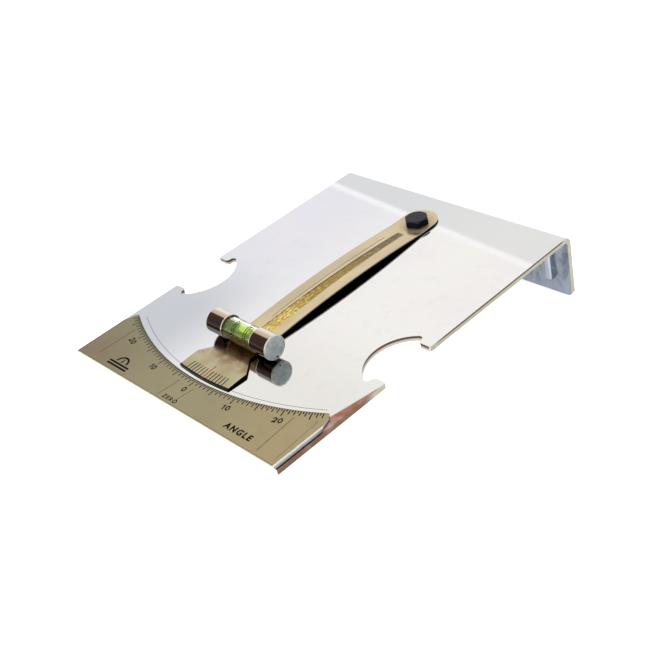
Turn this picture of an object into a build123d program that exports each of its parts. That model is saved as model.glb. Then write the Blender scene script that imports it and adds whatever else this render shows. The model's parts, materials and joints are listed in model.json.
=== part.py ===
from build123d import *
from math import atan2, cos, degrees, radians, sin, sqrt, tan
import os

os.makedirs("parts", exist_ok=True)

# A plate goniometer: a folded plate carries a pointer arm that swings over a scale, and the arm
# carries a spirit level. Everything is drawn in the plate's own frame: X across, Y from the
# front edge to the folded rear flange, and Z up from the plate's top face, in millimetres.
# stand() then tips it to rest on its front edge and on the flange, as it stands on a table.

# Plate and flange
PLATE_WIDTH = 130.0
PLATE_LENGTH = 169.0
PLATE_THICKNESS = 2.3
FLANGE_HEIGHT = 30.0
BEND_RADIUS = 3.6
FLANGE_CORNER_RADIUS = 2.0
GUSSET_THICKNESS = 3.4
GUSSET_DEPTH = 2.8
GUSSET_CENTRE_X = 54.8
GUSSET_TOE = 6.0
GUSSET_ROUNDING = 1.2

# Side notches, one on each side of the plate
NOTCH_RADIUS = 18.2
NOTCH_CENTRE_X = 65.8
NOTCH_CENTRE_Y = 68.0
NOTCH_LIP_FRONT = 55.6
NOTCH_LIP_REAR = 80.4
NOTCH_LIP_REACH = 6.2
NOTCH_LIP_FILLET = 1.6
NOTCH_TIP_FILLET = 0.8

# Pivot
PIVOT_Y = 145.0
STUD_RADIUS = 3.0
STUD_THREAD_RADIUS = 2.5
STUD_HEAD_RADIUS = 4.6
STUD_SHOULDER_SETBACK = 0.05
STUD_TIP_SETBACK = 0.3
RUNNING_CLEARANCE = 0.05
SHIM_RADIUS = 6.0
SHIM_THICKNESS = 0.57
FACE_GAP = 0.03

# Pointer arm, a bowed strip that widens into the pointer
ARM_THICKNESS = 0.5
ARM_FRONT_LEFT_X = -9.5
ARM_FRONT_RIGHT_X = 8.5
ARM_REAR_LEFT_X = -9.3
ARM_REAR_RIGHT_X = 7.6
ARM_EYE_CENTRE_Y = 147.2
ARM_BOW_FRONT_Y = 47.0
ARM_BOW_TOP_Y = 96.0
ARM_BOW_REAR_Y = 138.5
ARM_BOW_RISE = 1.87
GROOVE_DEPTH = 0.2
GROOVE_FRONT_Y = 47.0
GROOVE_REAR_Y = 134.5
GROOVE_FRONT_LEFT_X = -2.7
GROOVE_FRONT_RIGHT_X = 3.9
GROOVE_REAR_LEFT_X = -1.8
GROOVE_REAR_RIGHT_X = 1.4
GROOVE_END_FILLET = 1.4
EDGE_LINE_X = -4.1
EDGE_LINE_FRONT_Y = 60.0
EDGE_LINE_REAR_Y = 128.0
POINTER_RADIUS = 127.05
POINTER_HALF_WIDTH = 15.4
POINTER_NOSE_Y = 26.0
POINTER_NOSE_DROP = 0.5
POINTER_SHOULDER_Y = 28.6
POINTER_NECK_Y = 36.5

# Scale plate and its marks
SCALE_THICKNESS = 1.1
SCALE_HALF_WIDTH = 63.2
SCALE_INNER_RADIUS = 129.1
SCALE_SIDE_Y = 24.6
SCALE_CHAMFER_X = 61.5
SCALE_CHAMFER_Y = 29.4
SCALE_TIP_X = 59.4
SCALE_TIP_Y = 31.6
SCALE_RANGE_DEG = 27
MARK_WIDTH = 0.48
MARK_DEPTH = 0.15
MARK_GAP = 0.15
HALF_DEGREE_MARK = 1.35
DEGREE_MARK = 2.65
FIVE_DEGREE_MARK = 4.0
DIGIT_HEIGHT = 2.8
DIGIT_WIDTH = 2.0
DIGIT_STROKE = 0.58
DIGIT_PITCH = 2.4
DIGIT_ONE_PITCH = 1.9
DIGIT_RADIUS = 135.7
DIGIT_SWEEP = 0.66
DIGIT_FLAG = 0.32
SCRIBE_WIDTH = 0.26
SCRIBE_DEPTH = 0.08
PLATE_ARC_RADIUS = 126.2
SCRIBE_LINES = (
    ((-52.3, 23.0), (-52.9, 4.6)),
    ((-6.4, 12.0), (-7.3, 1.0)),
    ((3.3, 11.6), (2.5, 3.4)),
    ((50.6, 22.2), (52.1, 2.0)),
    ((59.9, 25.6), (61.5, 2.6)),
)

# Vernier on the pointer: six divisions a side share five degrees
VERNIER_DIVISIONS = 6
VERNIER_SPAN_DEG = 5.0
VERNIER_MARK = 4.9
INDEX_MARK = 7.6
VERNIER_EDGE = 0.4

# Spirit level, its axis along X across the arm
LEVEL_Y = 42.7
LEVEL_HALF_LENGTH = 18.85
FERRULE_RADIUS = 5.25
FERRULE_BORE = 4.6
FERRULE_RIM_FILLET = 0.2
BED_GAP = 0.02
FERRULE_INNER_END = 8.6
VIAL_RADIUS = 4.5
VIAL_BORE = 3.7
VIAL_HALF_LENGTH = 13.5
VIAL_WALL_END = 1.2
END_CAP_THICKNESS = 0.8
END_CAP_SPIGOT = 0.6
END_CAP_FILLET = 0.35
PIN_HOLE_RADIUS = 0.42
PIN_HOLE_DROP = 4.15
SADDLE_RADIUS = 5.0
SADDLE_BORE = 4.55
SADDLE_OPENING_DEG = 150.0
SOLDER_HALF_LENGTH = 7.2
SOLDER_HALF_WIDTH = 2.3
SOLDER_HEIGHT = 1.5
SOLDER_SLOPE = 0.9
VIAL_MARK_CENTRE_X = 1.2
VIAL_MARK_OFFSETS = (-4.15, -2.9, 2.9, 4.15)
VIAL_MARK_WIDTH = 0.34
VIAL_MARK_DEPTH = 0.08
BUBBLE_HALF_LENGTH = 2.7
BUBBLE_RADIUS = 1.5
BUBBLE_DROP = 1.3
BUBBLE_TRAVEL = 5.0
BUBBLE_CLEARANCE = 0.3

# Clamp knob
KNOB_ACROSS_FLATS = 9.8
KNOB_HEIGHT = 3.2
KNOB_CORNER_DEG = -42.0
KNOB_CROWN_RADIUS = 4.4
KNOB_CROWN_SLOPE_DEG = 30.0
KNOB_FOOT_CHAMFER = 0.3
KNOB_THREAD_DEPTH = 2.4
COUNTERBORE_RADIUS = 4.0
COUNTERBORE_DEPTH = 0.6
SPRING_WASHER_THICKNESS = 0.5
SPRING_WASHER_CLEARANCE = 0.15

# Worked out from the sizes above
HALF_WIDTH = PLATE_WIDTH / 2
EDGE_X = HALF_WIDTH - 0.5
ARM_BOTTOM = SHIM_THICKNESS + FACE_GAP
ARM_TOP = ARM_BOTTOM + ARM_THICKNESS
LEVEL_Z = ARM_TOP + FERRULE_RADIUS + FACE_GAP
KNOB_BOTTOM = ARM_TOP + FACE_GAP
BIG = 400.0
BEVEL = sqrt(0.5)


def pivot_polar(radius, angle_deg, z=0.0):
    """Point at a radius from the pivot; the angle is from straight ahead, positive to +X."""
    angle = radians(angle_deg)
    return (radius * sin(angle), PIVOT_Y - radius * cos(angle), z)


def prism(sketch, bottom, top):
    """Solid between two heights over a sketch in the XY plane."""
    return extrude(Pos(0, 0, bottom) * sketch, amount=top - bottom)


def x_cylinder(radius, x_low, x_high, y=LEVEL_Y, z=LEVEL_Z):
    """Cylinder along X between two stations."""
    length = x_high - x_low
    return Pos((x_low + x_high) / 2, y, z) * Rot(0, 90, 0) * Cylinder(radius, length)


def z_cylinder(radius, bottom, top, x=0.0, y=PIVOT_Y):
    """Cylinder along Z between two heights, on the pivot unless told otherwise."""
    return Pos(x, y, (bottom + top) / 2) * Cylinder(radius, top - bottom)


def radial_mark(inner_radius, outer_radius, angle_deg, width):
    """Plan of one straight mark that points at the pivot."""
    x, y, _ = pivot_polar((inner_radius + outer_radius) / 2, angle_deg)
    return Pos(x, y) * Rot(0, 0, angle_deg) * Rectangle(width, outer_radius - inner_radius)


def notch_plan(side):
    """Plan of one side notch: a round bite whose mouth is narrowed by two hooked lips."""
    bite = Pos(NOTCH_CENTRE_X, NOTCH_CENTRE_Y) * Circle(NOTCH_RADIUS)
    lip_x = HALF_WIDTH - NOTCH_LIP_REACH / 2
    front_lip = Pos(lip_x, NOTCH_LIP_FRONT - NOTCH_RADIUS / 2) * Rectangle(NOTCH_LIP_REACH, NOTCH_RADIUS)
    rear_lip = Pos(lip_x, NOTCH_LIP_REAR + NOTCH_RADIUS / 2) * Rectangle(NOTCH_LIP_REACH, NOTCH_RADIUS)
    inside = bite - front_lip - rear_lip
    keep = Pos(0, NOTCH_CENTRE_Y) * Rectangle(PLATE_WIDTH, 3 * NOTCH_RADIUS)
    outline = keep - inside
    corners = [v for v in outline.vertices() if v.X > 0 and abs(v.Y - NOTCH_CENTRE_Y) < NOTCH_RADIUS]
    outline = fillet([v for v in corners if v.X < EDGE_X], NOTCH_LIP_FILLET)
    corners = [v for v in outline.vertices() if v.X > EDGE_X]
    tips = [v for v in corners if abs(v.Y - NOTCH_CENTRE_Y) < NOTCH_RADIUS]
    outline = fillet(tips, NOTCH_TIP_FILLET)
    opening = Pos(0, NOTCH_CENTRE_Y) * Rectangle(PLATE_WIDTH, 3 * NOTCH_RADIUS) - outline
    return opening if side > 0 else mirror(opening, about=Plane.YZ)


def base_plate():
    """Plate and rear flange, folded from one sheet."""
    inner_bend = BEND_RADIUS - PLATE_THICKNESS
    bend_y = PLATE_LENGTH - BEND_RADIUS
    outer_mid = (bend_y + BEND_RADIUS * BEVEL, -BEND_RADIUS * (1 - BEVEL))
    inner_mid = (bend_y + inner_bend * BEVEL, -BEND_RADIUS + inner_bend * BEVEL)
    outline = [
        Line((0, 0), (bend_y, 0)),
        ThreePointArc((bend_y, 0), outer_mid, (PLATE_LENGTH, -BEND_RADIUS)),
        Line((PLATE_LENGTH, -BEND_RADIUS), (PLATE_LENGTH, -FLANGE_HEIGHT)),
        Line((PLATE_LENGTH, -FLANGE_HEIGHT), (PLATE_LENGTH - PLATE_THICKNESS, -FLANGE_HEIGHT)),
        Line(
            (PLATE_LENGTH - PLATE_THICKNESS, -FLANGE_HEIGHT),
            (PLATE_LENGTH - PLATE_THICKNESS, -BEND_RADIUS),
        ),
        ThreePointArc(
            (PLATE_LENGTH - PLATE_THICKNESS, -BEND_RADIUS), inner_mid, (bend_y, -PLATE_THICKNESS)
        ),
        Line((bend_y, -PLATE_THICKNESS), (0, -PLATE_THICKNESS)),
        Line((0, -PLATE_THICKNESS), (0, 0)),
    ]
    section = Plane.YZ * make_face(Wire(outline))
    plate = extrude(section, amount=HALF_WIDTH, both=True)
    flange_corners = [
        e
        for e in plate.edges().filter_by(Axis.Y)
        if e.center().Z < 1 - FLANGE_HEIGHT and abs(e.center().X) > EDGE_X
    ]
    plate = fillet(flange_corners, FLANGE_CORNER_RADIUS)
    for side in (-1, 1):
        plate -= prism(notch_plan(side), -BIG / 2, BIG / 2)
    plate -= z_cylinder(STUD_RADIUS, -2 * PLATE_THICKNESS, PLATE_THICKNESS)
    plate -= stud_head()
    plate -= plate_arc_line()
    return plate


def plate_arc_line():
    """Fine arc scribed on the plate just inside the scale."""
    ring = Circle(PLATE_ARC_RADIUS + SCRIBE_WIDTH / 2) - Circle(PLATE_ARC_RADIUS - SCRIBE_WIDTH / 2)
    left = pivot_polar(BIG, -SCALE_RANGE_DEG)
    right = pivot_polar(BIG, SCALE_RANGE_DEG)
    wedge = make_face(Polyline((0, PIVOT_Y), left[:2], right[:2], close=True))
    return prism((Pos(0, PIVOT_Y) * ring) & wedge, -SCRIBE_DEPTH, SCRIBE_DEPTH)


def flange_gusset(side):
    """Rounded rib that stiffens the fold, under the plate and inside the flange."""
    corner_y = PLATE_LENGTH - PLATE_THICKNESS
    front_y = corner_y - GUSSET_DEPTH
    toe_z = GUSSET_TOE - FLANGE_HEIGHT
    blend = BEND_RADIUS - PLATE_THICKNESS
    bend_y = PLATE_LENGTH - BEND_RADIUS
    outline = [
        Line((front_y, -PLATE_THICKNESS), (bend_y, -PLATE_THICKNESS)),
        ThreePointArc(
            (bend_y, -PLATE_THICKNESS),
            (bend_y + blend * BEVEL, -BEND_RADIUS + blend * BEVEL),
            (corner_y, -BEND_RADIUS),
        ),
        Line((corner_y, -BEND_RADIUS), (corner_y, toe_z)),
        ThreePointArc(
            (corner_y, toe_z),
            (corner_y - GUSSET_DEPTH * BEVEL, toe_z + GUSSET_DEPTH * (1 - BEVEL)),
            (front_y, toe_z + GUSSET_DEPTH),
        ),
        Line((front_y, toe_z + GUSSET_DEPTH), (front_y, -PLATE_THICKNESS)),
    ]
    rib = extrude(Plane.YZ * make_face(Wire(outline)), amount=GUSSET_THICKNESS / 2, both=True)
    front_edges = [e for e in rib.edges().filter_by(Axis.Z) if e.center().Y < corner_y - GUSSET_DEPTH / 2]
    return Pos(side * GUSSET_CENTRE_X, 0, 0) * fillet(front_edges, GUSSET_ROUNDING)


def scale_outline():
    """Plan of the scale plate: flush at the front, concave towards the pivot."""
    right = [
        (SCALE_HALF_WIDTH, 0),
        (SCALE_HALF_WIDTH, SCALE_SIDE_Y),
        (SCALE_CHAMFER_X, SCALE_CHAMFER_Y),
        (SCALE_TIP_X, SCALE_TIP_Y),
    ]
    left = [(-x, y) for x, y in reversed(right)]
    blank = make_face(Polyline(*(right + left), close=True))
    return blank - Pos(0, PIVOT_Y) * Circle(SCALE_INNER_RADIUS)


def graduation_plans():
    """Plans of the marks: one each half degree, longer each degree, longest each five."""
    start = SCALE_INNER_RADIUS + MARK_GAP
    plans = []
    for step in range(-2 * SCALE_RANGE_DEG, 2 * SCALE_RANGE_DEG + 1):
        length = HALF_DEGREE_MARK
        if step % 2 == 0:
            length = DEGREE_MARK
        if step % 10 == 0:
            length = FIVE_DEGREE_MARK
        plans.append(radial_mark(start, start + length, step / 2, MARK_WIDTH))
    return plans


def digit_zero():
    """Oval ring."""
    outer = Ellipse(DIGIT_WIDTH / 2, DIGIT_HEIGHT / 2)
    return outer - Ellipse(DIGIT_WIDTH / 2 - DIGIT_STROKE, DIGIT_HEIGHT / 2 - DIGIT_STROKE)


def digit_one():
    """Upright bar with a short flag."""
    top = DIGIT_HEIGHT / 2
    reach = DIGIT_WIDTH * DIGIT_FLAG
    flag = Polyline(
        (0, top),
        (-reach, top - reach),
        (-reach, top - reach - DIGIT_STROKE),
        (0, top - DIGIT_STROKE),
        close=True,
    )
    return Rectangle(DIGIT_STROKE, DIGIT_HEIGHT) + make_face(flag)


def digit_two():
    """Open bowl, slanting stroke and foot."""
    radius = DIGIT_WIDTH / 2
    bowl_y = DIGIT_HEIGHT / 2 - radius
    bottom = -DIGIT_HEIGHT / 2
    bowl = Pos(0, bowl_y) * (Circle(radius) - Circle(radius - DIGIT_STROKE))
    open_side = Polyline(
        (0, bowl_y),
        (-2 * radius, bowl_y),
        (-2 * radius, bottom),
        (2 * radius, bottom - radius),
        close=True,
    )
    foot = Pos(0, bottom + DIGIT_STROKE / 2) * Rectangle(DIGIT_WIDTH, DIGIT_STROKE)
    lean = radius * DIGIT_SWEEP
    half = DIGIT_STROKE / 2
    slant = Polyline(
        (-radius, bottom + half),
        (-radius + 3 * half, bottom + half),
        (lean + half, bowl_y - lean),
        (lean - half, bowl_y - lean + half),
        close=True,
    )
    return (bowl - make_face(open_side)) + foot + make_face(slant)


def numeral_plans():
    """Plans of the numbers, each upright when seen from outside towards the pivot."""
    digits = {0: [digit_zero()], 10: [digit_one(), digit_zero()], 20: [digit_two(), digit_zero()]}
    plans = []
    for value in (-20, -10, 0, 10, 20):
        glyphs = digits[abs(value)]
        pitch = DIGIT_ONE_PITCH if abs(value) == 10 else DIGIT_PITCH
        x, y, _ = pivot_polar(DIGIT_RADIUS, value)
        place = Pos(x, y) * Rot(0, 0, value)
        for index, glyph in enumerate(glyphs):
            offset = (index - (len(glyphs) - 1) / 2) * pitch
            plans.append(place * Pos(offset, 0) * glyph)
    return plans


def scribe_plans():
    """Plans of the fine layout lines that run across the scale plate."""
    plans = []
    for (x0, y0), (x1, y1) in SCRIBE_LINES:
        angle = degrees(atan2(y0 - y1, x0 - x1)) - 90
        length = sqrt((x0 - x1) ** 2 + (y0 - y1) ** 2)
        middle = Pos((x0 + x1) / 2, (y0 + y1) / 2)
        plans.append(middle * Rot(0, 0, angle) * Rectangle(SCRIBE_WIDTH, length))
    return plans


def inlays(plans, top):
    """Filled marks, flush with the surface that they are cut into."""
    return [prism(plan, top - MARK_DEPTH, top) for plan in plans]


def scale_plate():
    """Thin plate with pockets for its marks and fine scribed lines."""
    plate = prism(scale_outline(), 0, SCALE_THICKNESS)
    plate -= inlays(graduation_plans() + numeral_plans(), SCALE_THICKNESS)
    plate -= [prism(p, SCALE_THICKNESS - SCRIBE_DEPTH, SCALE_THICKNESS + 1) for p in scribe_plans()]
    return plate


def stud_head():
    """Countersunk head, flush with the plate's underside."""
    height = STUD_HEAD_RADIUS - STUD_RADIUS
    return Pos(0, PIVOT_Y, -PLATE_THICKNESS + height / 2) * Cone(STUD_HEAD_RADIUS, STUD_RADIUS, height)


def pivot_stud():
    """Riveted stud: head, shank that the arm turns on, and a thread for the knob."""
    shoulder = ARM_TOP - STUD_SHOULDER_SETBACK
    tip = KNOB_BOTTOM + KNOB_THREAD_DEPTH - STUD_TIP_SETBACK
    shank = z_cylinder(STUD_RADIUS, -PLATE_THICKNESS, shoulder)
    thread = z_cylinder(STUD_THREAD_RADIUS, shoulder, tip)
    return shank + stud_head() + thread


def pivot_shim():
    """Thin washer that keeps the arm just off the plate."""
    ring = Circle(SHIM_RADIUS) - Circle(STUD_RADIUS + RUNNING_CLEARANCE)
    return prism(Pos(0, PIVOT_Y) * ring, 0, SHIM_THICKNESS)


def arm_plan():
    """Plan of the arm: round behind the pivot, tapering, then flared to the pointer's arc."""
    eye_x = (ARM_REAR_LEFT_X + ARM_REAR_RIGHT_X) / 2
    eye_radius = (ARM_REAR_RIGHT_X - ARM_REAR_LEFT_X) / 2
    blade = Polyline(
        (ARM_REAR_LEFT_X, ARM_EYE_CENTRE_Y),
        (ARM_FRONT_LEFT_X, POINTER_NECK_Y),
        (-POINTER_HALF_WIDTH, POINTER_SHOULDER_Y),
        (-POINTER_HALF_WIDTH, 0),
        (POINTER_HALF_WIDTH, 0),
        (POINTER_HALF_WIDTH, POINTER_SHOULDER_Y),
        (ARM_FRONT_RIGHT_X, POINTER_NECK_Y),
        (ARM_REAR_RIGHT_X, ARM_EYE_CENTRE_Y),
        close=True,
    )
    front = make_face(blade) & (Pos(0, PIVOT_Y) * Circle(POINTER_RADIUS))
    return front + Pos(eye_x, ARM_EYE_CENTRE_Y) * Circle(eye_radius)


def arm_side(lift):
    """Side view of one face of the arm, given its height over the pivot, from the rear to the nose."""
    end = ARM_EYE_CENTRE_Y + 2 * ARM_REAR_RIGHT_X
    slope = POINTER_NOSE_DROP / (POINTER_NOSE_Y - PIVOT_Y + POINTER_RADIUS)
    return [
        Line((end, lift), (ARM_BOW_REAR_Y, lift)),
        ThreePointArc(
            (ARM_BOW_REAR_Y, lift), (ARM_BOW_TOP_Y, lift + ARM_BOW_RISE), (ARM_BOW_FRONT_Y, lift)
        ),
        Line((ARM_BOW_FRONT_Y, lift), (POINTER_NOSE_Y, lift)),
        Line((POINTER_NOSE_Y, lift), (0, lift - slope * POINTER_NOSE_Y)),
    ]


def arm_band(bottom, top):
    """Bowed band between two heights over the pivot, wider than the arm."""
    lower = arm_side(bottom)
    upper = arm_side(top)
    rear = Line(lower[0] @ 0, upper[0] @ 0)
    nose = Line(lower[-1] @ 1, upper[-1] @ 1)
    section = Plane.YZ * make_face(Wire(lower + upper + [rear, nose]))
    return extrude(section, amount=2 * POINTER_HALF_WIDTH, both=True)


def groove_plan():
    """Plan of the long groove, wider towards the level and rounded at the rear."""
    outline = Polyline(
        (GROOVE_FRONT_LEFT_X, GROOVE_FRONT_Y),
        (GROOVE_FRONT_RIGHT_X, GROOVE_FRONT_Y),
        (GROOVE_REAR_RIGHT_X, GROOVE_REAR_Y),
        (GROOVE_REAR_LEFT_X, GROOVE_REAR_Y),
        close=True,
    )
    plan = make_face(outline)
    return fillet([v for v in plan.vertices() if v.Y > GROOVE_REAR_Y - 1], GROOVE_END_FILLET)


def edge_line_plan():
    """Plan of the fine line beside the groove."""
    middle = Pos(EDGE_LINE_X, (EDGE_LINE_FRONT_Y + EDGE_LINE_REAR_Y) / 2)
    return middle * Rectangle(SCRIBE_WIDTH, EDGE_LINE_REAR_Y - EDGE_LINE_FRONT_Y)


def sunk(plans, depth):
    """Shallow cuts in the arm's top face that follow its bends."""
    band = arm_band(ARM_TOP - depth, ARM_TOP + 1)
    return [prism(plan, -BIG, BIG) & band for plan in plans]


def arm_inlays(plans):
    """Filled marks, flush with the arm's top face."""
    band = arm_band(ARM_TOP - MARK_DEPTH, ARM_TOP)
    return [prism(plan, -BIG, BIG) & band for plan in plans]


def vernier_plans():
    """Plans of the black vernier marks, either side of the index line."""
    step = VERNIER_SPAN_DEG / VERNIER_DIVISIONS
    outer = POINTER_RADIUS - VERNIER_EDGE
    numbers = [n for n in range(-VERNIER_DIVISIONS, VERNIER_DIVISIONS + 1) if n != 0]
    return [radial_mark(outer - VERNIER_MARK, outer, n * step, MARK_WIDTH) for n in numbers]


def index_plan():
    """Plan of the long index line in the middle of the vernier."""
    outer = POINTER_RADIUS - VERNIER_EDGE
    return radial_mark(outer - INDEX_MARK, outer, 0, MARK_WIDTH)


def pointer_arm():
    """Bowed arm and pointer in one piece, grooved along its top."""
    arm = prism(arm_plan(), -BIG, BIG) & arm_band(ARM_BOTTOM, ARM_TOP)
    arm -= sunk([groove_plan()], GROOVE_DEPTH)
    arm -= sunk([edge_line_plan()], SCRIBE_DEPTH)
    arm -= z_cylinder(STUD_RADIUS + RUNNING_CLEARANCE, 0, 2 * ARM_TOP)
    arm -= arm_inlays(vernier_plans() + [index_plan()])
    return arm


def level_saddle():
    """Trough that carries the vial between the two ferrules, open at the top."""
    shell = x_cylinder(SADDLE_RADIUS, -FERRULE_INNER_END, FERRULE_INNER_END)
    shell -= x_cylinder(SADDLE_BORE, -FERRULE_INNER_END, FERRULE_INNER_END)
    half_opening = radians(SADDLE_OPENING_DEG / 2)
    reach = 4 * SADDLE_RADIUS
    opening = Polyline(
        (LEVEL_Y, LEVEL_Z),
        (LEVEL_Y - reach * sin(half_opening), LEVEL_Z + reach * cos(half_opening)),
        (LEVEL_Y + reach * sin(half_opening), LEVEL_Z + reach * cos(half_opening)),
        close=True,
    )
    return shell - extrude(Plane.YZ * make_face(opening), amount=LEVEL_HALF_LENGTH, both=True)


def level_solder():
    """Solder that joins the saddle to the arm."""
    middle_z = ARM_TOP + SOLDER_HEIGHT / 2
    block = Box(2 * SOLDER_HALF_LENGTH, 2 * SOLDER_HALF_WIDTH, SOLDER_HEIGHT)
    block = Pos(0, LEVEL_Y, middle_z) * block
    upper_edges = [e for e in block.edges().filter_by(Axis.X) if e.center().Z > middle_z]
    block = chamfer(upper_edges, SOLDER_SLOPE)
    return block - x_cylinder(SADDLE_RADIUS, -LEVEL_HALF_LENGTH, LEVEL_HALF_LENGTH)


def ferrule(side):
    """Sleeve over one end of the vial."""
    outer = LEVEL_HALF_LENGTH - END_CAP_THICKNESS
    x_low, x_high = sorted((side * FERRULE_INNER_END, side * outer))
    sleeve = x_cylinder(FERRULE_RADIUS, x_low, x_high) - x_cylinder(FERRULE_BORE, x_low, x_high)
    rim = [
        e
        for e in sleeve.edges().filter_by(GeomType.CIRCLE)
        if e.radius > FERRULE_BORE + BED_GAP and abs(e.center().X) < outer - BED_GAP
    ]
    return fillet(rim, FERRULE_RIM_FILLET)


def end_disc(side):
    """Cap that closes one ferrule: a spigot inside, a rounded face, and a pin hole low in it."""
    seat = LEVEL_HALF_LENGTH - END_CAP_THICKNESS
    x_low, x_high = sorted((side * seat, side * LEVEL_HALF_LENGTH))
    cap = x_cylinder(FERRULE_RADIUS, x_low, x_high)
    rim = [
        e for e in cap.edges().filter_by(GeomType.CIRCLE) if abs(e.center().X) > LEVEL_HALF_LENGTH - BED_GAP
    ]
    cap = fillet(rim, END_CAP_FILLET)
    x_low, x_high = sorted((side * (seat - END_CAP_SPIGOT), side * seat))
    cap += x_cylinder(FERRULE_BORE - BED_GAP, x_low, x_high)
    pin_bottom = LEVEL_HALF_LENGTH - END_CAP_THICKNESS / 2
    x_low, x_high = sorted((side * pin_bottom, side * LEVEL_HALF_LENGTH))
    return cap - x_cylinder(PIN_HOLE_RADIUS, x_low, x_high, LEVEL_Y, LEVEL_Z - PIN_HOLE_DROP)


def vial_seat(side):
    """Plaster that beds one end of the vial between its end and the cap."""
    outer = LEVEL_HALF_LENGTH - END_CAP_THICKNESS - END_CAP_SPIGOT
    x_low, x_high = sorted((side * VIAL_HALF_LENGTH, side * outer))
    return x_cylinder(FERRULE_BORE - BED_GAP, x_low, x_high)


def vial_mark_band(x, radius):
    """Thin ring around the vial at one station."""
    half = VIAL_MARK_WIDTH / 2
    return x_cylinder(radius, x - half, x + half) - x_cylinder(
        VIAL_RADIUS - VIAL_MARK_DEPTH, x - half, x + half
    )


def vial_marks():
    """Filled rings that frame the bubble."""
    return [vial_mark_band(VIAL_MARK_CENTRE_X + offset, VIAL_RADIUS) for offset in VIAL_MARK_OFFSETS]


def vial_glass():
    """Sealed glass tube, grooved for its marks."""
    tube = x_cylinder(VIAL_RADIUS, -VIAL_HALF_LENGTH, VIAL_HALF_LENGTH)
    inner = VIAL_HALF_LENGTH - VIAL_WALL_END
    tube -= x_cylinder(VIAL_BORE, -inner, inner)
    tube -= [
        vial_mark_band(VIAL_MARK_CENTRE_X + offset, VIAL_RADIUS + 1) for offset in VIAL_MARK_OFFSETS
    ]
    return tube


def bubble_shape(half_length, radius):
    """Rounded capsule along X at the top of the vial's bore."""
    centre = Pos(VIAL_MARK_CENTRE_X, LEVEL_Y, LEVEL_Z + VIAL_BORE - BUBBLE_DROP - BUBBLE_CLEARANCE)
    straight = half_length - radius
    capsule = Rot(0, 90, 0) * Cylinder(radius, 2 * straight)
    for end in (-1, 1):
        capsule += Pos(end * straight, 0, 0) * Sphere(radius)
    return centre * capsule


def vial_bubble():
    """Air bubble, at rest between the marks."""
    return bubble_shape(BUBBLE_HALF_LENGTH, BUBBLE_RADIUS - BUBBLE_CLEARANCE)


def vial_liquid():
    """Filling, open along the path that the bubble takes."""
    inner = VIAL_HALF_LENGTH - VIAL_WALL_END
    return x_cylinder(VIAL_BORE, -inner, inner) - bubble_shape(
        BUBBLE_HALF_LENGTH + BUBBLE_TRAVEL + BUBBLE_CLEARANCE, BUBBLE_RADIUS
    )


def clamp_knob():
    """Hexagon nut with a chamfered crown, closed at the top."""
    corner = KNOB_ACROSS_FLATS / 2 / cos(radians(30))
    rim = corner + KNOB_FOOT_CHAMFER
    shoulder = KNOB_HEIGHT - (rim - KNOB_CROWN_RADIUS) * tan(radians(KNOB_CROWN_SLOPE_DEG))
    profile = Polyline(
        (0, 0),
        (corner - KNOB_FOOT_CHAMFER, 0),
        (rim, 2 * KNOB_FOOT_CHAMFER),
        (rim, shoulder),
        (KNOB_CROWN_RADIUS, KNOB_HEIGHT),
        (0, KNOB_HEIGHT),
        close=True,
    )
    envelope = Pos(0, PIVOT_Y, KNOB_BOTTOM) * revolve(Plane.XZ * make_face(profile), Axis.Z)
    hexagon = Pos(0, PIVOT_Y) * Rot(0, 0, KNOB_CORNER_DEG) * RegularPolygon(corner, 6)
    body = prism(hexagon, KNOB_BOTTOM, KNOB_BOTTOM + KNOB_HEIGHT) & envelope
    body -= z_cylinder(STUD_THREAD_RADIUS + RUNNING_CLEARANCE, 0, KNOB_BOTTOM + KNOB_THREAD_DEPTH)
    body -= z_cylinder(COUNTERBORE_RADIUS, 0, KNOB_BOTTOM + COUNTERBORE_DEPTH)
    return body


def spring_washer():
    """Washer inside the knob's recess that loads the arm."""
    outer = COUNTERBORE_RADIUS - SPRING_WASHER_CLEARANCE
    ring = Circle(outer) - Circle(STUD_THREAD_RADIUS + RUNNING_CLEARANCE)
    top = KNOB_BOTTOM + COUNTERBORE_DEPTH
    return prism(Pos(0, PIVOT_Y) * ring, top - SPRING_WASHER_THICKNESS, top)


def solids_of(shape):
    """Flat list of the solids in a shape or list of shapes."""
    if isinstance(shape, (list, tuple)):
        return [solid for item in shape for solid in solids_of(item)]
    return list(shape.solids())


nodes = {
    "base_plate": base_plate(),
    "flange_gusset_left": flange_gusset(-1),
    "flange_gusset_right": flange_gusset(1),
    "scale_plate": scale_plate(),
    "scale_graduations": inlays(graduation_plans(), SCALE_THICKNESS),
    "scale_numerals": inlays(numeral_plans(), SCALE_THICKNESS),
    "pivot_stud": pivot_stud(),
    "pivot_shim": pivot_shim(),
    "pointer_arm": pointer_arm(),
    "vernier_marks": arm_inlays(vernier_plans()),
    "index_line": arm_inlays([index_plan()]),
    "level_saddle": level_saddle(),
    "level_solder": level_solder(),
    "ferrule_left": ferrule(-1),
    "ferrule_right": ferrule(1),
    "end_disc_left": end_disc(-1),
    "end_disc_right": end_disc(1),
    "vial_seat_left": vial_seat(-1),
    "vial_seat_right": vial_seat(1),
    "vial_glass": vial_glass(),
    "vial_marks": vial_marks(),
    "vial_liquid": vial_liquid(),
    "vial_bubble": vial_bubble(),
    "clamp_knob": clamp_knob(),
    "spring_washer": spring_washer(),
}

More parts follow.
